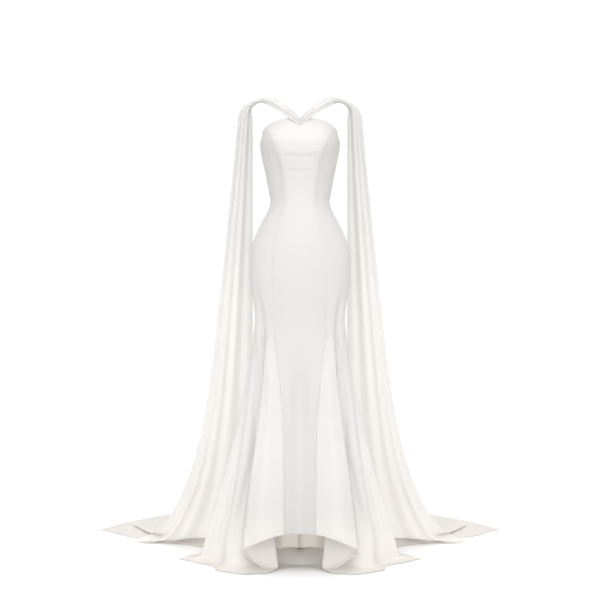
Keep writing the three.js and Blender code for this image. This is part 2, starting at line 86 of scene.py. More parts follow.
# height, half width, depth to the front, depth to the back, bearing of the princess seam
sections = curvesOf(["width", "front", "back", "seam"], [
    (0, 156, 97, 98, 16), (130, 156, 97, 98, 16), (360, 156, 97, 98, 18), (440, 156, 97, 98, 19),
    (527, 156, 97, 98, 21), (610, 156, 97, 98, 24.5), (697, 156, 97, 98, 29), (760, 156, 97, 98, 34),
    (820, 150, 98, 104, 36), (880, 156, 102, 116, 35), (940, 164, 105, 125, 33.5),
    (1000, 166.7, 106, 125, 31.7), (1060, 161, 103, 114, 31), (1100, 147.5, 99, 102, 30.4),
    (1140, 128, 94, 90, 30.2), (1180, 107.5, 89, 81, 30), (1207, 98.5, 88, 79, 29.8),
    (1240, 103.5, 91, 84, 29.6), (1280, 110.7, 100, 92, 29.8), (1320, 119, 113, 98, 30.6),
    (1360, 127.5, 127, 100, 33), (1400, 134.5, 131, 98, 38.4), (1420, 135.5, 127, 96, 43.5),
    (1448, 135.5, 119, 92, 60), (1480, 135.5, 110, 88, 64)])
# place round the half gown (0 centre front, 1 princess seam, 2 side, 3 back seam, 4 centre back), height
topEdge = curvesOf(["height"], [
    (0, 1479), (0.3, 1478), (0.5, 1473), (0.65, 1467.5), (0.8, 1459.5), (1, 1448), (1.25, 1441),
    (1.6, 1417), (2, 1382), (2.5, 1357), (3, 1345), (4, 1332)])["height"]
# bearing, foot x y, hem x y, lift of the hem, how late the fold opens
skirt = curvesOf(["footX", "footY", "hemX", "hemY", "lift", "late"], [
    (0, 0, -166, 0, -166, 123, 1.4), (16, 54, -171, 54, -171, 123, 1.3),
    (29, 108, -198, 108, -198, 114, 1.2), (40, 162, -184, 162, -184, 92, 1),
    (50, 193, -142, 193, -142, 68, 0.9), (56, 166, -112, 166, -112, 38, 1.4),
    (63, 70, -112, 98, -156, 0, 1.3), (69, 142, -88, 142, -176, 0, 1.5),
    (75, 198, -98, 188, -180, 0, 1.3), (81, 241, -82, 238, -148, 0, 1.2),
    (85.3, 252, -60, 268, -121, 0, 1.2), (87, 256, -50, 282, -107, 0, 1.2), (88.7, 258, -39, 275, -93, 0, 1.2),
    (93, 266, -10, 290, -46, 0, 1.3), (99, 302, 20, 350, 8, 0, 1.15),
    (104.2, 328, 51, 392, 56, 0, 1.15), (106, 332, 62, 412, 78, 0, 1.15), (107.8, 330, 74, 396, 96, 0, 1.18),
    (112, 322, 104, 378, 134, 0, 1.25), (118, 290, 140, 346, 174, 0, 1.4),
    (124, 262, 182, 342, 230, 0, 1.5), (131, 232, 222, 352, 294, 0, 1.5),
    (138, 200, 246, 600, 462, 0, 1.6), (144, 180, 256, 730, 617, 0, 1.6), (145, 178, 256, 754, 640, 0, 1.6),
    (146, 174, 255, 741, 663, 0, 1.6), (152, 148, 240, 668, 800, 0, 1.6), (160, 112, 216, 522, 985, 0, 1.5),
    (170, 58, 188, 282, 1200, 0, 1.6), (180, 0, 178, 0, 1290, 0, 1.6)])
seamBearings = dict(side=90, back=140, centreBack=180)  # degrees round from the centre front
# fullness of the bust, bend to the floor, runs between which the rows stop being even, rise along the train,
# height at which the cloth rests
gownForm = dict(
    fullness=dict(bearing=37, height=1386, depth=9, bearingSpread=17, heightSpread=44),
    floorBend=dict(radius=46, ofRun=0.35),
    longRun=(40, 260),
    trainRidge=dict(bearing=172, spread=5.5, rise=20),
    restsAt=1.6,
)


def bearingAt(place, height):
    seam, side, back = sections["seam"](height), seamBearings["side"], seamBearings["back"]
    return np.select(
        [place < 1, place < 2, place < 3],
        [seam * place, mix(seam, side, place - 1), mix(side, back, place - 2)],
        mix(back, seamBearings["centreBack"], place - 3))


def fittedPoint(bearing, height):
    full = gownForm["fullness"]
    depth = np.where(bearing < seamBearings["side"], sections["front"](height), sections["back"](height))
    swell = full["depth"] * np.exp(-((bearing - full["bearing"]) / full["bearingSpread"]) ** 2)
    swell = swell * np.exp(-((height - full["height"]) / full["heightSpread"]) ** 2)
    angle = np.radians(bearing)
    x = (sections["width"](height) + swell) * np.sin(angle)
    y = -(depth + swell) * np.cos(angle)
    return np.stack([x, y, height - waistHeight], -1)


# The points, their heights along the cloth (below zero on the floor) and their places round the half gown.
def gownPoint(place, row):
    side = np.where((place < 0) | (place > 4), -1.0, 1.0)
    near = np.where(place > 4, 8 - place, np.abs(place))
    upper = mix(topEdge(near), kneeHeight, np.minimum(row / rowsOf["body"], 1))
    fitted = fittedPoint(bearingAt(near, upper), upper)

    low = bearingAt(near, np.zeros_like(near))
    wall = kneeHeight - np.maximum(skirt["lift"](low), 0)
    run = np.hypot(skirt["hemX"](low) - skirt["footX"](low), skirt["hemY"](low) - skirt["footY"](low))
    below = np.maximum(row - rowsOf["body"], 0)
    even = (wall + run) * below / (rowsOf["wall"] + rowsOf["train"])
    split = np.where(below <= rowsOf["wall"], wall * below / rowsOf["wall"],
                     wall + run * (below - rowsOf["wall"]) / rowsOf["train"])
    drop = mix(even, split, smooth(run, *gownForm["longRun"]))
    height = kneeHeight - drop
    bearing = bearingAt(near, np.maximum(height, 0))
    foot = np.stack([skirt["footX"](bearing), skirt["footY"](bearing), 0 * bearing], -1)
    hem = np.stack([skirt["hemX"](bearing), skirt["hemY"](bearing), 0 * bearing], -1)
    opened = np.minimum(drop / kneeHeight, 1) ** skirt["late"](bearing)
    flared = mix(fittedPoint(bearing, np.full_like(bearing, kneeHeight)), foot, opened[..., None])
    length = np.linalg.norm(hem - foot, axis=-1)
    lain = np.where((height < 0) & (length > 0), -height / np.maximum(length, tiny), 0)
    flared = np.where(lain[..., None] > 0, mix(foot, hem, lain[..., None]), flared)
    bend, ridge = gownForm["floorBend"], gownForm["trainRidge"]
    radius = np.minimum(bend["radius"], bend["ofRun"] * length)
    swell = ridge["rise"] * np.exp(-((bearing - ridge["bearing"]) / ridge["spread"]) ** 2)
    swell = swell * np.sin(np.minimum(lain, 1) * math.pi)
    flared[..., 2] = (height + np.hypot(height, radius)) / 2 + swell + gownForm["restsAt"] - waistHeight
    onBody = row <= rowsOf["body"]
    points = np.where(onBody[..., None], fitted, flared)
    points[..., 0] *= side
    return points, np.where(onBody, upper, height), near


# A fold is a line in the cloth's own two directions, with a width and a depth in millimetres.
# A depth below zero is a trough; fade is the share of the line's length over which each end dies out.
# A line of three points or more is rounded, with so many steps between two points.
foldForm = dict(fade=(0.35, 0.35), steps=6)


def pressFolds(points, across, along, metricAcross, folds):
    normals = normalsOf(points)
    stepAcross = np.gradient(metricAcross, axis=1)
    stepAlong = np.gradient(along, axis=0)
    scaleAcross = np.linalg.norm(np.gradient(points, axis=1), axis=-1) / np.maximum(abs(stepAcross), tiny)
    scaleAlong = np.linalg.norm(np.gradient(points, axis=0), axis=-1) / np.maximum(abs(stepAlong), tiny)
    rise = np.zeros(across.shape)
    for fold in folds:
        line = rounded(fold["line"])
        nearest = np.full(across.shape, np.inf)
        share = np.zeros(across.shape)
        for i in range(len(line) - 1):
            a, b = line[i], line[i + 1]
            px, py = (across - a[0]) * scaleAcross, (along - a[1]) * scaleAlong
            dx, dy = (b[0] - a[0]) * scaleAcross, (b[1] - a[1]) * scaleAlong
            t = np.clip((px * dx + py * dy) / np.maximum(dx * dx + dy * dy, tiny), 0, 1)
            distance = np.hypot(px - t * dx, py - t * dy)
            closer = distance < nearest
            nearest = np.where(closer, distance, nearest)
            share = np.where(closer, (i + t) / (len(line) - 1), share)
        first, last = fold.get("fade", foldForm["fade"])
        strength = smooth(share, 0, first) if first else np.ones_like(share)
        if last:
            strength = strength * smooth(1 - share, 0, last)
        width = fold["width"]
        if np.ndim(width):
            width = mix(width[0], width[1], share)
        rise += fold["depth"] * strength * np.exp(-((nearest / width) ** 2))
    return points + normals * rise[..., None]


def rounded(line):  # a smooth line through the given points
    line = np.array(line, float)
    if len(line) < 3:
        return line
    knots = np.arange(len(line), dtype=float)
    fine = np.linspace(0, len(line) - 1, (len(line) - 1) * foldForm["steps"] + 1)
    return np.stack([curveOf(knots, line[:, k])(fine) for k in (0, 1)], -1)


def normalsOf(points):  # outward, for a grid whose rows go down and columns to the wearer's left
    return unit(np.cross(np.gradient(points, axis=0), np.gradient(points, axis=1)))


# A turning folds a cloth's edge in under itself: reach is how wide it is, depth how thick the edge gets,
# roll how rounded, holds how far in the rounding stays. A stop of the turned part has its share of the reach,
# of the roll and of the depth. The cloth is drawn in by the roll, less by a share of the way that slack gives.
turnForm = dict(
    stops=[(1, 0, 1), (0.75, 0, 1), (0.5, 0, 1), (0.25, 0, 1), (0, 1, 1), (0, 0.35, 0.9), (0, 0, 0.55),
           (0, 0.25, 0.16)],
    slack=4, mostHeld=0.5)


def turned(points, normals, turning, axis, atEnd):
    points, normals = np.moveaxis(points, axis, 0), np.moveaxis(normals, axis, 0)
    if atEnd:
        points, normals = points[::-1], normals[::-1]
    inward = unit(points[1] - points[0])
    roll = turning["roll"]
    travelled = measured(points, 0)
    extra = []
    for ofReach, ofRoll, deep in turnForm["stops"]:
        along = turning["reach"] * ofReach + roll * ofRoll
        laid = points[0] + inward * along
        facing = normals[0]
        if along > roll:  # the turned part lies under the cloth and follows it
            for column in range(points.shape[1]):
                for k in range(3):
                    laid[column, k] = np.interp(along, travelled[:, column], points[:, column, k])
            facing = normals[int(np.argmin(abs(travelled.mean(1) - along)))]
        extra.append(laid - facing * turning["depth"] * deep)
    extra = np.stack(extra)
    points = points + inward[None] * np.maximum(roll - travelled / turnForm["slack"], 0)[..., None]
    step = np.linalg.norm(points[1] - points[0], axis=-1, keepdims=True)
    held = mix(points[0], points[1], np.minimum(turning["holds"] / step, turnForm["mostHeld"]))
    points = np.concatenate([extra, points[:1], held[None], points[1:]])
    normals = np.concatenate([np.repeat(normals[:1], len(extra), 0), normals[:1], normals])
    if atEnd:
        points, normals = points[::-1], normals[::-1]
    return np.moveaxis(points, 0, axis), np.moveaxis(normals, 0, axis)


def measured(points, axis):  # distance travelled along a grid's rows or columns
    steps = np.cumsum(np.linalg.norm(np.diff(points, axis=axis), axis=-1), axis=axis)
    return np.concatenate([np.zeros_like(np.take(steps, [0], axis)), steps], axis)


def placed(name, data):
    thing = bpy.data.objects.new(name, data)
    bpy.context.scene.collection.objects.link(thing)
    return thing


def meshOf(name, bm):
    mesh = bpy.data.meshes.new(name)
    bm.to_mesh(mesh)
    bm.free()
    return mesh


unstitched = 1e3  # farther from an edge than any stitch


def clothObject(name, points, sewnSides, turnings, thickness, mirrored, paintedShade):
    normals = normalsOf(points)
    if sewnSides:  # the outermost columns belong to the neighbours and only turn the normals
        points, normals = points[:, 1:-1], normals[:, 1:-1]
    for axis, atEnd, turning in turnings:
        points, normals = turned(points, normals, turning, axis, atEnd)
    rows, columns = points.shape[:2]
    points[..., 2] = np.maximum(points[..., 2], thickness + floorGap - waistHeight)
    u = measured(points, 1)
    u = u - u[:, columns // 2][:, None]
    v = measured(points, 0)
    rimAlong, rimAway = np.zeros((rows, columns)), np.full((rows, columns), unstitched)
    for axis, atEnd, turning in turnings:
        if sewnSides and axis == 1:
            continue
        away = measured(points, axis)
        if atEnd:
            away = np.take(away, [-1], axis) - away
        away = abs(away - turning["reach"] - turning["depth"])
        rimAlong = np.where(away < rimAway, measured(points, 1 - axis), rimAlong)
        rimAway = np.minimum(away, rimAway)
    bm = bmesh.new()
    bmesh.ops.create_grid(bm, x_segments=columns - 1, y_segments=rows - 1, size=0.5)
    uvLayer, rimLayer = bm.loops.layers.uv.new("cloth"), bm.loops.layers.uv.new("rim")
    # the vertex layer "tone" holds painted light and shade, a factor on the colour by height
    tone = bm.verts.layers.float.new("tone")
    place = {}
    for vert in bm.verts:
        c = round((vert.co.x + 0.5) * (columns - 1))
        r = round((0.5 - vert.co.y) * (rows - 1))
        x, y, z = points[r, c] * mm
        vert.co = (-x if mirrored else x, y, z)
        vert[tone] = float(np.interp(z, *zip(*paintedShade)))
        place[vert] = (u[r, c] * mm, -v[r, c] * mm), (rimAlong[r, c] * mm, rimAway[r, c] * mm)
    for face in bm.faces:
        face.smooth = True
        for loop in face.loops:
            loop[uvLayer].uv, loop[rimLayer].uv = place[loop.vert]
    if mirrored:
        bmesh.ops.reverse_faces(bm, faces=bm.faces)
    piece = placed(name, meshOf(name, bm))
    wall = piece.modifiers.new("wall", "SOLIDIFY")
    wall.thickness, wall.offset = thickness * mm, -1
    return piece


def newMaterial(name):
    material = bpy.data.materials.new(name)
    material.use_nodes = True
    tree = material.node_tree
    return material, tree.nodes, tree.links, tree.nodes["Principled BSDF"]


# Cloth materials. The weave follows the piece's UV map "cloth" and the stitches its UV map "rim", both in metres.
# The vertex layer "tone" is painted light and shade that scales the colour by height, and how much light comes
# through goes by height as well.
weaveForm = dict(waveUnit=0.314, weft=1.15, yarnDetail=1, crinkleDetail=3, rumpleDetail=2, bumpDepth=0.0004,
                 wrinkleDepth=0.002, ramp=(0.3, 0.7), cloud=2.2, cloudDetail=2, cloudShare=0.7, crinkleShare=0.3,
                 stitchBeat=0.3, sheenRoughness=0.5)


def clothMaterial(name, look):
    material, nodes, links, shader = newMaterial(name)
    where, uv, rim, rimApart, apart, paintedShadeLayer = (nodes.new("ShaderNode" + kind) for kind in (
        "TexCoord", "UVMap", "UVMap", "SeparateXYZ", "SeparateXYZ", "Attribute"))
    uv.uv_map, rim.uv_map, paintedShadeLayer.attribute_name = "cloth", "rim", "tone"
    links.new(rim.outputs["UV"], rimApart.inputs["Vector"])
    links.new(where.outputs["Object"], apart.inputs["Vector"])

    def noise(scale, detail, source):
        node = nodes.new("ShaderNodeTexNoise")
        node.inputs["Scale"].default_value, node.inputs["Detail"].default_value = scale, detail
        links.new(source, node.inputs["Vector"])
        return node.outputs["Fac"]

    def maths(kind, a, b):
        node = nodes.new("ShaderNodeMath")
        node.operation = kind
        for socket, value in zip(node.inputs, (a, b)):
            if isinstance(value, (int, float)):
                socket.default_value = value
            else:
                links.new(value, socket)
        return node.outputs[0]

    def ranged(value, low, high, start, end):
        node = nodes.new("ShaderNodeMapRange")
        links.new(value, node.inputs["Value"])
        for socket, number in zip(("From Min", "From Max", "To Min", "To Max"), (low, high, start, end)):
            node.inputs[socket].default_value = number
        return node.outputs["Result"]

    def yarns(direction, pitch):
        node = nodes.new("ShaderNodeTexWave")
        node.wave_type, node.bands_direction = "BANDS", direction
        node.inputs["Scale"].default_value = weaveForm["waveUnit"] / (pitch * mm)
        node.inputs["Distortion"].default_value = look["slub"]
        node.inputs["Detail"].default_value = weaveForm["yarnDetail"]
        links.new(uv.outputs["UV"], node.inputs["Vector"])
        return node.outputs["Fac"]

    def bumped(height, strength, distance):
        node = nodes.new("ShaderNodeBump")
        node.inputs["Strength"].default_value, node.inputs["Distance"].default_value = strength, distance
        links.new(height, node.inputs["Height"])
        return node

    weave = maths("ADD", yarns("X", look["pitch"]), yarns("Y", look["pitch"] * weaveForm["weft"]))
    crinkle = noise(1 / (look["grain"] * mm), weaveForm["crinkleDetail"], uv.outputs["UV"])
    height = maths("ADD", maths("MULTIPLY", weave, look["weave"]), maths("MULTIPLY", crinkle, look["crinkle"]))
    sewn, beat = look["stitch"], weaveForm["stitchBeat"]
    besides = maths("ABSOLUTE", maths("SUBTRACT", rimApart.outputs["Y"], sewn["away"] * mm), 0)
    beats = maths("SINE", maths("MULTIPLY", rimApart.outputs["X"], 2 * math.pi / (sewn["pitch"] * mm)), 0)
    stitch = maths("MULTIPLY", ranged(besides, 0, sewn["width"] * mm, 1, 0), ranged(beats, -beat, beat, 0, 1))
    height = maths("SUBTRACT", height, maths("MULTIPLY", stitch, sewn["sunk"]))
    bump = bumped(height, look["bump"], weaveForm["bumpDepth"])
    broad = bumped(noise(look["rumple"], weaveForm["rumpleDetail"], where.outputs["Object"]), look["wrinkle"],
                   weaveForm["wrinkleDepth"])
    links.new(bump.outputs["Normal"], broad.inputs["Normal"])
    links.new(broad.outputs["Normal"], shader.inputs["Normal"])

    ramp = nodes.new("ShaderNodeValToRGB")
    colours = look["shade"], look["colour"]
    for element, position, colour in zip(ramp.color_ramp.elements, weaveForm["ramp"], colours):
        element.position, element.color = position, (*colour, 1)
    cloud = noise(weaveForm["cloud"], weaveForm["cloudDetail"], where.outputs["Object"])
    links.new(maths("ADD", maths("MULTIPLY", cloud, weaveForm["cloudShare"]),
                    maths("MULTIPLY", crinkle, weaveForm["crinkleShare"])), ramp.inputs["Fac"])
    # painted light and shade from the layer "tone", times the darker stitches
    paintedShadeAndStitches = maths("MULTIPLY", paintedShadeLayer.outputs["Fac"], ranged(stitch, 0, 1, 1, sewn["tone"]))

    # scales a colour by the painted light and shade and the stitches
    def scaledByPaintedShade(colour, target):
        node = nodes.new("ShaderNodeVectorMath")
        node.operation = "SCALE"
        if isinstance(colour, tuple):
            node.inputs["Vector"].default_value = colour
        else:
            links.new(colour, node.inputs["Vector"])
        links.new(paintedShadeAndStitches, node.inputs["Scale"])
        links.new(node.outputs["Vector"], target)

    scaledByPaintedShade(ramp.outputs["Color"], shader.inputs["Base Color"])
    links.new(ranged(crinkle, 0, 1, *look["roughness"]), shader.inputs["Roughness"])
    shader.inputs["Specular IOR Level"].default_value = look["specular"]
    shader.inputs["Sheen Weight"].default_value = look["sheen"]
    shader.inputs["Sheen Roughness"].default_value = weaveForm["sheenRoughness"]
    through, both = nodes.new("ShaderNodeBsdfTranslucent"), nodes.new("ShaderNodeMixShader")
    scaledByPaintedShade(look["glow"], through.inputs["Color"])
    links.new(ranged(apart.outputs["Z"], *look["sheer"]), both.inputs["Fac"])
    links.new(shader.outputs["BSDF"], both.inputs[1])
    links.new(through.outputs["BSDF"], both.inputs[2])
    links.new(both.outputs["Shader"], nodes["Material Output"].inputs["Surface"])
    return material


crepeLook = dict(colour=(0.77, 0.768, 0.762), shade=(0.757, 0.754, 0.746), roughness=(0.5, 0.66), specular=0.3,
                 glow=(0.945, 0.905, 0.86), sheer=(-1.2, -0.85, 0.48, 0.27),
                 sheen=0.06, pitch=0.42, grain=0.8, slub=0.6, weave=0.25, crinkle=0.6, bump=0.25,
                 rumple=26, wrinkle=0.05, stitch=dict(away=6, pitch=5, width=0.6, sunk=2, tone=0.9))
chiffonLook = dict(colour=(0.86, 0.848, 0.832), shade=(0.845, 0.832, 0.814), roughness=(0.62, 0.8),
                   glow=(0.985, 0.974, 0.962), sheer=(-0.9, 0.3, 0.66, 0.22),
                   specular=0.2, sheen=0.1, pitch=0.3, grain=0.5, slub=0.4, weave=0.3, crinkle=0.4, bump=0.3,
                   rumple=40, wrinkle=0.04, stitch=dict(away=1.8, pitch=2.6, width=0.4, sunk=1.5, tone=0.88))
crepe = clothMaterial("crepe", crepeLook)
chiffon = clothMaterial("chiffon", chiffonLook)
print("cloth materials ready")

# Folds of the gown: each line goes through (place, height), height below zero along the floor.
gownFolds = [
    # under the bust
    dict(line=[(0, 1350), (0.3, 1351), (0.6, 1355), (0.95, 1362)], width=7.5, depth=-4.5, fade=(0, 0.6)),
    # bust lower edge
    dict(line=[(0, 1368), (0.6, 1370), (1, 1374)], width=7, depth=1.1, fade=(0, 0.3)),
    # ribs
    dict(line=[(0, 1304), (0.4, 1305), (0.95, 1312)], width=6.5, depth=-3.4, fade=(0, 0.45)),
    # ribs lower edge
    dict(line=[(0, 1291), (0.4, 1292), (0.9, 1299)], width=6, depth=0.7, fade=(0, 0.4)),
    # pucker
    dict(line=[(1.02, 1328), (0.72, 1317)], width=4, depth=-0.9, fade=(0.1, 0.6)),
    dict(line=[(1.02, 1398), (0.74, 1391)], width=3.5, depth=-0.8, fade=(0.1, 0.6)),
    dict(line=[(1.02, 1384), (0.78, 1375)], width=3, depth=-0.6, fade=(0.1, 0.6)),
    # waist drag
    dict(line=[(1.08, 1226), (1.5, 1214), (1.9, 1226)], width=7, depth=-0.9),
    dict(line=[(1.15, 1196), (1.6, 1184), (2.2, 1192)], width=8, depth=-0.8),
    # hip ease
    dict(line=[(0, 996), (0.5, 998), (1.3, 1008)], width=16, depth=-0.9, fade=(0, 0.5)),
    # side of the thigh
    dict(line=[(1.54, 960), (1.46, 860), (1.38, 770), (1.36, 700)], width=15, depth=-9, fade=(0.4, 0.4)),
    # front hollow
    dict(line=[(0, 760), (0, 450), (0, 131)], width=30, depth=-23, fade=(0.4, 0)),
    # seam sunk
    dict(line=[(1, 785), (1, 700), (1, 600)], width=4, depth=-1.2, fade=(0.1, 0.8)),
    # flute crest
    dict(line=[(1.1, 720), (1.16, 590), (1.2, 450), (1.24, 300), (1.26, 130)],
         width=(12, 26), depth=9, fade=(0.3, 0)),
    # behind the flute
    dict(line=[(1.31, 765), (1.36, 640), (1.41, 520), (1.45, 400), (1.5, 280), (1.55, 120)],
         width=(9, 17), depth=-19, fade=(0.2, 0)),
    dict(line=[(1.3, 800), (1.34, 735), (1.4, 640), (1.43, 560), (1.45, 470)],
         width=11, depth=-18, fade=(0.3, 0.4)),
    # side fold
    dict(line=[(1.74, 420), (1.79, 300), (1.84, 160), (1.87, 30)], width=(10, 18), depth=-8, fade=(0.5, 0.2)),
    # side tip
    dict(line=[(1.9, 330), (1.93, 160), (1.955, 20)], width=(7, 11), depth=6, fade=(0.6, 0.2)),
    # side fold
    dict(line=[(2.08, 440), (2.1, 280), (2.12, 120), (2.13, -10)], width=(9, 16), depth=-9, fade=(0.5, 0.3)),
    # side tip
    dict(line=[(2.24, 420), (2.28, 220), (2.31, 60), (2.32, -30)], width=(7, 11), depth=7, fade=(0.6, 0.2)),
    # side fold
    dict(line=[(2.46, 420), (2.5, 220), (2.54, 40), (2.56, -20)], width=(9, 15), depth=-7, fade=(0.5, 0.3)),
    # back waist
    dict(line=[(2.6, 1212), (3.2, 1200), (3.9, 1204)], width=8, depth=-1.2),
    dict(line=[(2.7, 1178), (3.3, 1168), (3.95, 1176)], width=9, depth=-1.1),
    # seat
    dict(line=[(3.1, 930), (3.5, 915), (3.9, 925)], width=16, depth=-1.4),
    # train
    dict(line=[(3.1, 300), (3.15, -60), (3.2, -420)], width=(24, 46), depth=9, fade=(0.5, 0.3)),
    dict(line=[(3.34, 340), (3.36, -80), (3.44, -620)], width=(20, 40), depth=-8, fade=(0.4, 0.3)),
    dict(line=[(3.52, 320), (3.53, -40), (3.5, -760)], width=(22, 52), depth=11, fade=(0.4, 0.3)),
    dict(line=[(3.7, 300), (3.72, -100), (3.68, -700)], width=(16, 30), depth=-6, fade=(0.4, 0.4)),
]

crepeEdge = dict(seam=dict(reach=9, depth=1.3, roll=0.2, holds=0.8),
                 neck=dict(reach=18, depth=1.6, roll=0.9, holds=1.5),
                 hem=dict(reach=12, depth=1.3, roll=1, holds=1.5))
# painted light and shade: a factor on each piece's cloth colour by height above the waist, in metres
crepePaintedShade = dict(front_center=[(-1.2, 0.96), (-0.9, 0.93), (-0.6, 0.92), (-0.3, 0.945), (0, 0.995)],
                  side_front=[(-1.2, 1.1), (-1.1, 1.06), (-1, 0.98), (-0.5, 0.97), (-0.15, 0.97), (0, 0.96),
                              (0.08, 0.95)],
                  side_back=[(-1.2, 1.1), (-0.9, 1.03), (-0.6, 0.98), (0, 0.96), (0.1, 0.93)],
                  back=[(-1.2, 1.06), (-0.9, 1.05), (-0.5, 1), (0.1, 0.97)])
# painted shade on the wings: darker towards the shoulders and lighter at the floor
chiffonPaintedShade = [(-1.2, 1.02), (-1, 0.975), (-0.3, 0.965), (0.22, 0.865)]
# places from and to, grid columns, grid steps to a pattern row of each part of the height, flat size in metres
bodyPieces = {
    "front_center": dict(places=(-1, 1), columns=50, steps=(14, 18, 8), flat=(0.34, 1.40)),
    "side_front": dict(places=(1, 2), columns=62, steps=(12, 17, 8), flat=(0.42, 1.42)),
    "side_back": dict(places=(2, 3), columns=60, steps=(10, 14, 16), flat=(0.46, 1.45)),
    "back": dict(places=(3, 4), columns=90, steps=(10, 14, 32), flat=(0.95, 2.45)),
}


def sheetArea(points):  # square metres of a grid's faces
    a, b = points[1:, 1:] - points[:-1, :-1], points[1:, :-1] - points[:-1, 1:]
    return float(np.linalg.norm(np.cross(a, b), axis=-1).sum() / 2 * mm * mm)


def crepePanel(name, shape, mirrored, paintedShade):
    low, high = shape["places"]
    step = (high - low) / shape["columns"]
    places = np.linspace(low - step, high + step, shape["columns"] + 3)
    body, wall, train = rowsOf["body"], rowsOf["wall"], rowsOf["train"]
    bodySteps, wallSteps, trainSteps = shape["steps"]
    rows = np.concatenate([
        np.linspace(0, body, body * bodySteps, endpoint=False),
        np.linspace(body, body + wall, wall * wallSteps, endpoint=False),
        np.linspace(body + wall, body + wall + train, train * trainSteps + 1)])
    place, row = np.meshgrid(places, rows)
    points, heights, near = gownPoint(place, row)
    points = pressFolds(points, near, heights, place, gownFolds)
    edges = [(1, False, crepeEdge["seam"]), (1, True, crepeEdge["seam"]),
             (0, False, crepeEdge["neck"]), (0, True, crepeEdge["hem"])]
    piece = clothObject(name + "_cloth", points, True, edges, clothThickness["crepe"], mirrored, paintedShade)
    piece.data.materials.append(crepe)
    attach(piece, "gown")
    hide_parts(name)
    area = sheetArea(points)
    print(name, "area", round(area, 3), "quads", len(piece.data.polygons))
    return piece, area


for shapeName, shape in bodyPieces.items():
    for side in ([""] if shapeName == "front_center" else ["_left", "_right"]):
        piece, area = crepePanel(shapeName + side, shape, side == "_right", crepePaintedShade[shapeName])
print("gown panels sewn")

# Chiffon: the route of a band and of its wing's gathered top: x, y, height, half width, bow, pleat
bandRoute = [
    (4, -100, 1466, 6, 0.5, 0.1), (20, -100, 1482, 12.5, 1.2, 0.4), (56, -102, 1509, 13.5, 4, 0.8),
    (88, -66, 1531, 15, 5, 0.9), (112, -32, 1543, 11.5, 6, 0.7), (132, -8, 1545, 7.5, 8, 0.4),
    (154, 13, 1539, 8.5, 10, 0.5), (171, 26, 1527, 13, 13, 1), (180, 33, 1511, 20, 15, 1.6),
    (183, 37, 1490, 24.5, 16, 2.2)]
# across the wing, foot x y, hem x y
wing = curvesOf(["footX", "footY", "hemX", "hemY"], [
    (0, 172, 391, 196, 474), (0.1, 232, 382, 244, 442), (0.2, 292, 382, 302, 466), (0.3, 334, 368, 352, 434),
    (0.4, 376, 368, 402, 434), (0.5, 416, 350, 466, 380), (0.6, 446, 350, 512, 394), (0.7, 486, 342, 590, 376),
    (0.8, 488, 398, 548, 526), (0.9, 532, 470, 634, 722), (1, 494, 560, 530, 940)])
# gap, wall and facet seat the first stops on the bodice, crossing brings the upper band forward over the other,
# straight and flare spread the wing on its way down, and rest is its height on the floor and on the train
chiffonForm = dict(
    onBodice=2, gap=0.3, wall=1, facet=1.2, shoulderSeam=4,
    crossing=dict(forward=3, along=-9, reach=1.6),
    pleats=3, aheadStep=0.001, wingTop=1490, straight=0.53, flare=0.47, flarePower=6.6, bendRadius=40,
    rest=dict(floor=2.5, onTrain=9, start=385, end=455, rising=0.6),
)


def routePoints():
    stops = []
    for index, (x, y, height, half, _, _) in enumerate(bandRoute):
        if index < chiffonForm["onBodice"]:
            lie = -sections["front"](height - half) - chiffonForm["gap"] - chiffonForm["wall"] + chiffonForm["facet"]
            y = min(y, float(lie))
        stops.append((x, y, height - waistHeight))
    stops = np.array(stops, float)
    return np.concatenate([[2 * stops[0] - stops[1]], stops, [2 * stops[-1] - stops[-2]]])


def routeAt(stop):  # a centripetal curve through the stops
    knots = routePoints()
    stop = np.clip(stop, 0, len(bandRoute) - 1)
    i = np.minimum(np.floor(stop).astype(int), len(bandRoute) - 2)
    t = (stop - i)[..., None]
    p0, p1, p2, p3 = knots[i], knots[i + 1], knots[i + 2], knots[i + 3]
    d0, d1, d2 = (np.sqrt(np.linalg.norm(b - a, axis=-1, keepdims=True))
                  for a, b in ((p0, p1), (p1, p2), (p2, p3)))
    m1 = ((p1 - p0) / d0 - (p2 - p0) / (d0 + d1) + (p2 - p1) / d1) * d1
    m2 = ((p2 - p1) / d1 - (p3 - p1) / (d1 + d2) + (p3 - p2) / d2) * d1
    return p1 + m1 * t + (3 * p2 - 3 * p1 - 2 * m1 - m2) * t ** 2 + (2 * p1 - 2 * p2 + m1 + m2) * t ** 3


bandSize = curvesOf(["half", "bow", "pleat"], [(i, *stop[3:]) for i, stop in enumerate(bandRoute)])


def bandPoint(across, stop, mirrored):
    point = routeAt(stop)
    ahead = unit(routeAt(stop + chiffonForm["aheadStep"]) - routeAt(stop - chiffonForm["aheadStep"]))
    up = unit(np.stack([-ahead[..., 2], 0 * stop, ahead[..., 0]], -1))
    face = unit(np.cross(up, ahead))
    bow = bandSize["bow"](stop) * np.sin(across * math.pi)
    pleat = bandSize["pleat"](stop) * (1 - np.cos(across * 2 * chiffonForm["pleats"] * math.pi))
    point = point + up * (bandSize["half"](stop) * (2 * across - 1))[..., None] + face * (pleat - bow)[..., None]
    if mirrored:
        cross = chiffonForm["crossing"]
        shift = np.array([cross["along"], -cross["forward"], cross["along"]], float)
        point = point + shift * (1 - smooth(stop, 0, cross["reach"]))[..., None]
    return point


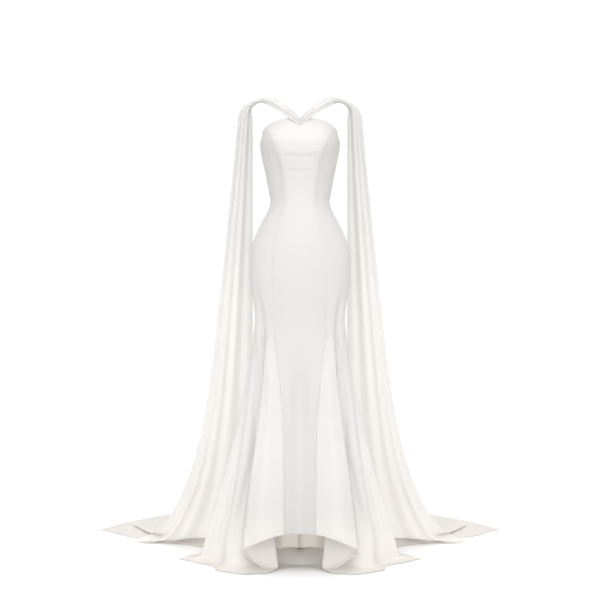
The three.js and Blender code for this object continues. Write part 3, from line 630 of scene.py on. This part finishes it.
def wingPoint(across, fall, mirrored):  # fall is -1 at the shoulder seam, 0 at the top, 1 at the floor, 2 at the hem
    form = chiffonForm
    seam, last = form["shoulderSeam"], len(bandRoute) - 1
    gathered = bandPoint(across, last + np.minimum(fall, 0) * (last - seam), mirrored)
    foot = np.stack([wing["footX"](across), wing["footY"](across), 0 * across], -1)
    hem = np.stack([wing["hemX"](across), wing["hemY"](across), 0 * across], -1)
    down = np.clip(fall, 0, 1)
    spread = form["straight"] * down + form["flare"] * down ** form["flarePower"]
    run = np.linalg.norm(hem - foot, axis=-1)
    height = np.where(fall < 1, form["wingTop"] * (1 - fall), -run * (fall - 1))
    point = mix(gathered, foot, spread[..., None])
    point = np.where((fall > 1)[..., None], mix(foot, hem, (fall - 1)[..., None]), point)
    rest = mix(form["rest"]["floor"], form["rest"]["onTrain"],
               smooth(point[..., 1], form["rest"]["start"], form["rest"]["end"]))
    low = (height + np.hypot(height, form["bendRadius"] * down)) / 2
    low = low + rest * smooth(fall, form["rest"]["rising"], 1) - waistHeight
    point[..., 2] = np.where(fall > 0, low, gathered[..., 2])
    return point


chiffonEdge = dict(reach=3, depth=0.8, roll=0.5, holds=0.8)
bandPleats = [
    dict(line=[(0.34, 0), (0.36, 1.2), (0.3, 2.4), (0.36, 4)], width=(2.2, 3), depth=-3, fade=(0, 0)),
    dict(line=[(0.52, 0.2), (0.54, 2), (0.56, 4)], width=2.4, depth=0.8, fade=(0.2, 0)),
    dict(line=[(0.68, 0), (0.7, 1.2), (0.66, 2.6), (0.7, 4)], width=(2.2, 3), depth=-2.6, fade=(0, 0)),
]
wingFolds = [
    dict(line=[(0.1, -0.3), (0.1, 0.4), (0.06, 1)], width=(3, 10), depth=1.25, fade=(0.2, 0.2)),
    dict(line=[(0.19, -0.6), (0.2, 0.3), (0.16, 1.1)], width=(2.5, 12), depth=-1.2, fade=(0.2, 0.2)),
    dict(line=[(0.3, -0.5), (0.27, 0.35), (0.28, 1)], width=(2.5, 9), depth=-0.8, fade=(0.2, 0.3)),
    dict(line=[(0.37, -0.4), (0.36, 0.5), (0.33, 1.2)], width=(3, 14), depth=1.2, fade=(0.2, 0.3)),
    dict(line=[(0.45, -0.6), (0.47, 0.4), (0.42, 1.1)], width=(2.5, 10), depth=-1.6, fade=(0.2, 0.3)),
    dict(line=[(0.56, -0.5), (0.58, 0.4), (0.53, 1.3)], width=(3, 14), depth=2, fade=(0.2, 0.3)),
    dict(line=[(0.64, -0.6), (0.66, 0.4), (0.62, 1.2)], width=(2.5, 11), depth=-2, fade=(0.2, 0.2)),
    dict(line=[(0.74, -0.5), (0.77, 0.3), (0.74, 1)], width=(2.5, 12), depth=1.5, fade=(0.2, 0.3)),
    dict(line=[(0.84, -0.6), (0.86, 0.4), (0.87, 1.3)], width=(2.5, 13), depth=-2, fade=(0.2, 0.3)),
    dict(line=[(0.94, -0.4), (0.94, 0.6), (0.95, 1.4)], width=(3, 12), depth=1.5, fade=(0.2, 0.3)),
] + [  # the fine gathers of the seam
    dict(line=[(a, -1), (a + drift, -0.5), (a + 2 * drift, end)], width=(1.2, 3), depth=deep, fade=(0.05, 0.7))
    for a, drift, end, deep in [
        (0.08, 0, 0.1, -0.6), (0.16, 0.01, 0.2, 0.54), (0.24, -0.01, 0.05, -0.66), (0.33, 0.005, 0.25, 0.48),
        (0.41, 0, 0.12, -0.72), (0.5, 0.01, 0.3, 0.54), (0.58, -0.01, 0.1, -0.6), (0.67, 0.01, 0.22, 0.48),
        (0.76, 0, 0.08, -0.72), (0.84, -0.005, 0.2, 0.54), (0.92, 0.005, 0.12, -0.54)]]
chiffonPieces = {
    "neck_band": dict(columns=90, rows=[(0, 4, 110)], flat=(0.045, 0.18), held="folded",
                      restsOn=["front_center_cloth"]),
    "wing": dict(columns=118, rows=[(-1, 0, 50), (0, 1, 190), (1, 2, 50)], flat=(0.62, 2.0), held="gathered",
                 restsOn=["neck_band_{}_cloth", "back_{}_cloth"]),
}


def chiffonPiece(name, kind, mirrored):
    shape = chiffonPieces[kind]
    downs = [np.linspace(a, b, n, endpoint=False) for a, b, n in shape["rows"]]
    downs.append([shape["rows"][-1][1]])
    across, down = np.meshgrid(np.linspace(0, 1, shape["columns"] + 1), np.concatenate(downs))
    if kind == "wing":
        points, folds, hem = wingPoint(across, down, mirrored), wingFolds, [(0, True, chiffonEdge)]
    else:
        points, folds, hem = bandPoint(across, down, mirrored), bandPleats, []
    points = pressFolds(points, across, down, across, folds)
    edges = [(1, False, chiffonEdge), (1, True, chiffonEdge)] + hem
    piece = clothObject(name + "_cloth", points, False, edges, clothThickness["chiffon"], mirrored, chiffonPaintedShade)
    piece.data.materials.append(chiffon)
    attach(piece, "gown")
    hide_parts(name)
    area = sheetArea(points)
    print(name, "area", round(area, 4), "quads", len(piece.data.polygons))
    return piece, area


for kind, shape in chiffonPieces.items():
    for side in ("left", "right"):
        piece, area = chiffonPiece(f"{kind}_{side}", kind, side == "right")
print("chiffon hung")

# The zip keeps its solids and gets enamel.
enamelLook = dict(colour=(0.84, 0.83, 0.81), shade=(0.76, 0.75, 0.725), roughness=(0.2, 0.42), cloud=900,
                  speckle=5200, bump=0.15, bumpDepth=0.0001)


def enamelMaterial(look):
    material, nodes, links, shader = newMaterial("zipEnamel")
    where, tone, rough, bump, cloud, speckle = (
        nodes.new("ShaderNode" + kind) for kind in ("TexCoord", "MixRGB", "MapRange", "Bump", "TexNoise", "TexNoise"))
    cloud.inputs["Scale"].default_value, speckle.inputs["Scale"].default_value = look["cloud"], look["speckle"]
    tone.inputs["Color1"].default_value = (*look["shade"], 1)
    tone.inputs["Color2"].default_value = (*look["colour"], 1)
    rough.inputs["To Min"].default_value, rough.inputs["To Max"].default_value = look["roughness"]
    bump.inputs["Strength"].default_value, bump.inputs["Distance"].default_value = look["bump"], look["bumpDepth"]
    for output, target in (
            (where.outputs["Object"], cloud.inputs["Vector"]), (where.outputs["Object"], speckle.inputs["Vector"]),
            (cloud.outputs["Fac"], tone.inputs["Fac"]), (speckle.outputs["Fac"], rough.inputs["Value"]),
            (speckle.outputs["Fac"], bump.inputs["Height"]), (tone.outputs["Color"], shader.inputs["Base Color"]),
            (rough.outputs["Result"], shader.inputs["Roughness"]), (bump.outputs["Normal"], shader.inputs["Normal"])):
        links.new(output, target)
    return material


enamel = enamelMaterial(enamelLook)
for node in ("zip_slider", "zip_pull"):
    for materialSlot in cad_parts[node].material_slots:
        materialSlot.material = enamel

# Floor, light and camera. The sky is weaker to the sides, by the share of its direction that runs along X.
floorLook = dict(size=34, colour=(0.82, 0.82, 0.815), roughness=0.9, specular=0.1)
sky = dict(colour=(1, 1, 1), strength=(1.04, 0.48), sides=(0.4, 0.95))
lights = {
    "key": dict(power=33, size=(1.6, 1.2), at=(0, -2, 2.3), aim=(0, 0, -0.1)),
    "top": dict(power=65, size=(4, 4), at=(0, 0, 3.4), aim=(0, 0.01, 0)),
    "fill": dict(power=40, size=(4.5, 2.2), at=(0, -6.5, 0.1), aim=(0, 0, -0.5)),
    "behind": dict(power=900, size=(24, 14), at=(0, 11, 5), aim=(0, 11.01, 0), spread=110),
    "low left": dict(power=3.2, size=(1.2, 0.7), at=(2.5, -1.8, -0.6), aim=(0.4, 0.3, -1.05), spread=60),
    "low right": dict(power=3.2, size=(1.2, 0.7), at=(-2.5, -1.8, -0.6), aim=(-0.4, 0.3, -1.05), spread=60),
    "under the hem": dict(power=0.07, size=(0.1, 0.03), at=(0, -0.12, -1.1), aim=(0, 0.3, -1.17), spread=84)}
view = dict(at=(0, -5, -0.207), aim=(0, 0, -0.324), lens=90, sensor=36)


def aimed(thing, spot):
    thing.location = spot["at"]
    thing.rotation_euler = (Vector(spot["aim"]) - thing.location).to_track_quat("-Z", "Y").to_euler()


bm = bmesh.new()
bmesh.ops.create_grid(bm, x_segments=1, y_segments=1, size=floorLook["size"] / 2)
bmesh.ops.translate(bm, verts=bm.verts, vec=(0, 0, -waistHeight * mm))
floor = placed("floor", meshOf("floor", bm))
floorMaterial, _, _, floorShader = newMaterial("floorPale")
floorShader.inputs["Base Color"].default_value = (*floorLook["colour"], 1)
floorShader.inputs["Roughness"].default_value = floorLook["roughness"]
floorShader.inputs["Specular IOR Level"].default_value = floorLook["specular"]
floor.data.materials.append(floorMaterial)

world = bpy.data.worlds.new("studio")
world.use_nodes = True
skyNodes, skyLinks = world.node_tree.nodes, world.node_tree.links
skyNodes["Background"].inputs["Color"].default_value = (*sky["colour"], 1)
skyWhere, skyApart, skyAway, skySides = (
    skyNodes.new("ShaderNode" + kind) for kind in ("TexCoord", "SeparateXYZ", "Math", "MapRange"))
skyAway.operation = "ABSOLUTE"
skySides.inputs["From Min"].default_value, skySides.inputs["From Max"].default_value = sky["sides"]
skySides.inputs["To Min"].default_value, skySides.inputs["To Max"].default_value = sky["strength"]
skyLinks.new(skyWhere.outputs["Generated"], skyApart.inputs["Vector"])
skyLinks.new(skyApart.outputs["X"], skyAway.inputs[0])
skyLinks.new(skyAway.outputs[0], skySides.inputs["Value"])
skyLinks.new(skySides.outputs["Result"], skyNodes["Background"].inputs["Strength"])
bpy.context.scene.world = world
for name, lamp in lights.items():
    lampData = bpy.data.lights.new(name, "AREA")
    lampData.shape, lampData.energy = "RECTANGLE", lamp["power"]
    lampData.size, lampData.size_y = lamp["size"]
    lampData.spread = math.radians(lamp.get("spread", 180))
    light = placed(name, lampData)
    light.visible_camera = False
    aimed(light, lamp)

cameraData = bpy.data.cameras.new("camera")
cameraData.lens, cameraData.sensor_width = view["lens"], view["sensor"]
camera = placed("camera", cameraData)
aimed(camera, view)
bpy.context.scene.camera = camera
bpy.context.scene.view_settings.view_transform = "Standard"
print("studio ready")

bpy.context.view_layer.update()
